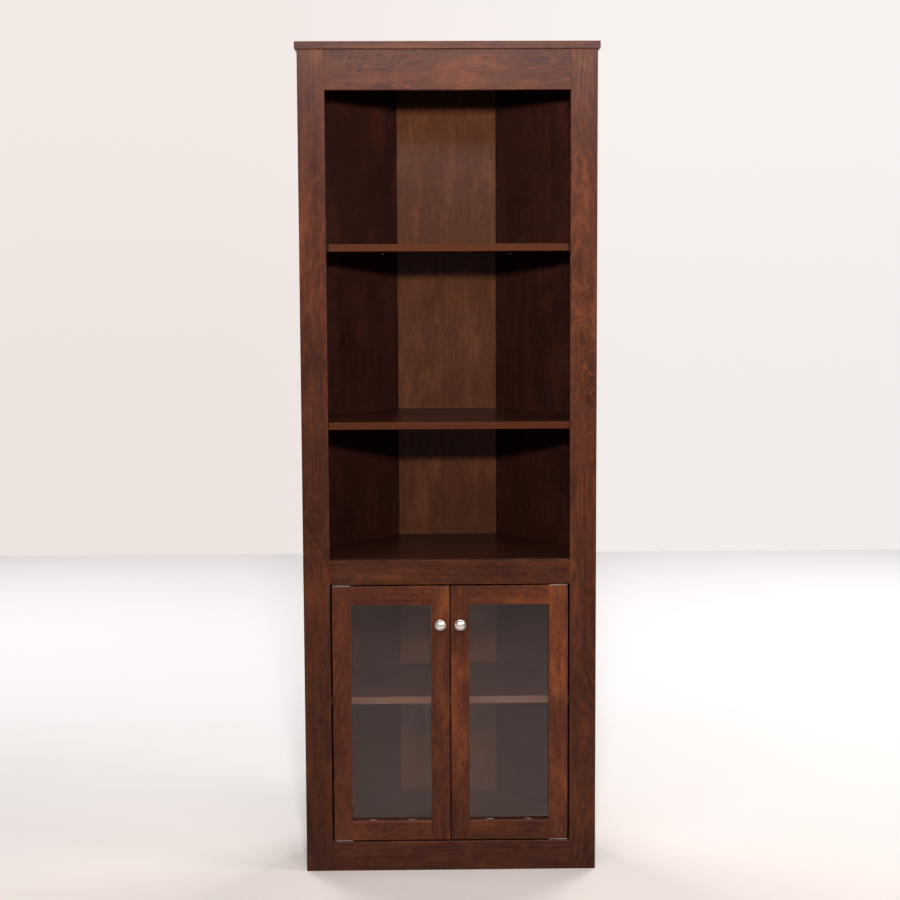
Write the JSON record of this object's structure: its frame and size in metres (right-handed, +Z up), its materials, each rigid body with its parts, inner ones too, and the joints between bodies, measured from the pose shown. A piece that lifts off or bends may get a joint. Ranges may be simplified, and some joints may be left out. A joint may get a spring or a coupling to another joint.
{
  "type": "corner bookcase",
  "caption": "Tall corner bookcase with a face frame, three open bays over a glazed two-door cupboard, slanted side boards and a narrow back.",
  "frame": {"origin": "centre of the bounding box's footprint, on the floor", "axes": "+Z up, +X to the right as seen from the front, +Y from the front towards the room's corner"},
  "size_m": [0.656, 0.372, 1.829],
  "materials": {
    "cherry_board": "satin printed rustic cherry on board",
    "clear_glass": "clear float glass",
    "polished_nickel": "polished",
    "nickel_plate": "nickel plated",
    "zinc_steel": "zinc plated",
    "beech": "raw",
    "nylon": "matt moulded",
    "ferrite": "matt"
  },
  "bodies": {
    "case": {"back_board": "cherry_board", "base_rail": "cherry_board", "cam_bolts": "zinc_steel", "cams": "zinc_steel", "catch_magnets": "ferrite", "cleat_screws": "zinc_steel", "cupboard_floor": "cherry_board", "cupboard_shelf": "cherry_board", "cupboard_shelf_pins": "zinc_steel", "door_stop": "cherry_board", "door_stop_screws": "zinc_steel", "fixed_shelf": "cherry_board", "frame_pivot_leaves": "nickel_plate", "frame_pivot_screws": "zinc_steel", "frieze_rail": "cherry_board", "left_side_board": "cherry_board", "left_slanted_board": "cherry_board", "left_stile": "cherry_board", "mid_rail": "cherry_board", "middle_shelf": "cherry_board", "mitre_splines": "beech", "pivot_washers": "nylon", "rail_dowels": "beech", "right_side_board": "cherry_board", "right_slanted_board": "cherry_board", "right_stile": "cherry_board", "stile_dowels": "beech", "top_board": "cherry_board", "top_dowels": "beech", "upper_shelf": "cherry_board", "upper_shelf_pins": "zinc_steel", "wall_cleat": "cherry_board"},
    "left_door": {"left_door_bottom_rail": "cherry_board", "left_door_clip_screws": "zinc_steel", "left_door_dowels": "beech", "left_door_glass": "clear_glass", "left_door_glass_clips": "nylon", "left_door_hinge_stile": "cherry_board", "left_door_knob": "polished_nickel", "left_door_knob_screw": "zinc_steel", "left_door_meeting_stile": "cherry_board", "left_door_pivot_leaves": "nickel_plate", "left_door_pivot_screws": "zinc_steel", "left_door_strike": "zinc_steel", "left_door_top_rail": "cherry_board"},
    "right_door": {"right_door_bottom_rail": "cherry_board", "right_door_clip_screws": "zinc_steel", "right_door_dowels": "beech", "right_door_glass": "clear_glass", "right_door_glass_clips": "nylon", "right_door_hinge_stile": "cherry_board", "right_door_knob": "polished_nickel", "right_door_knob_screw": "zinc_steel", "right_door_meeting_stile": "cherry_board", "right_door_pivot_leaves": "nickel_plate", "right_door_pivot_screws": "zinc_steel", "right_door_strike": "zinc_steel", "right_door_top_rail": "cherry_board"}
  },
  "joints": [
    {"name": "left_door_swing", "type": "hinge", "parent": "case", "child": "left_door", "pos_m": [-0.2465, -0.1515, 0.358], "axis": [0, 0, -1], "range_deg": [0, 110]},
    {"name": "right_door_swing", "type": "hinge", "parent": "case", "child": "right_door", "pos_m": [0.2465, -0.1515, 0.358], "axis": [0, 0, 1], "range_deg": [0, 110]}
  ]
}
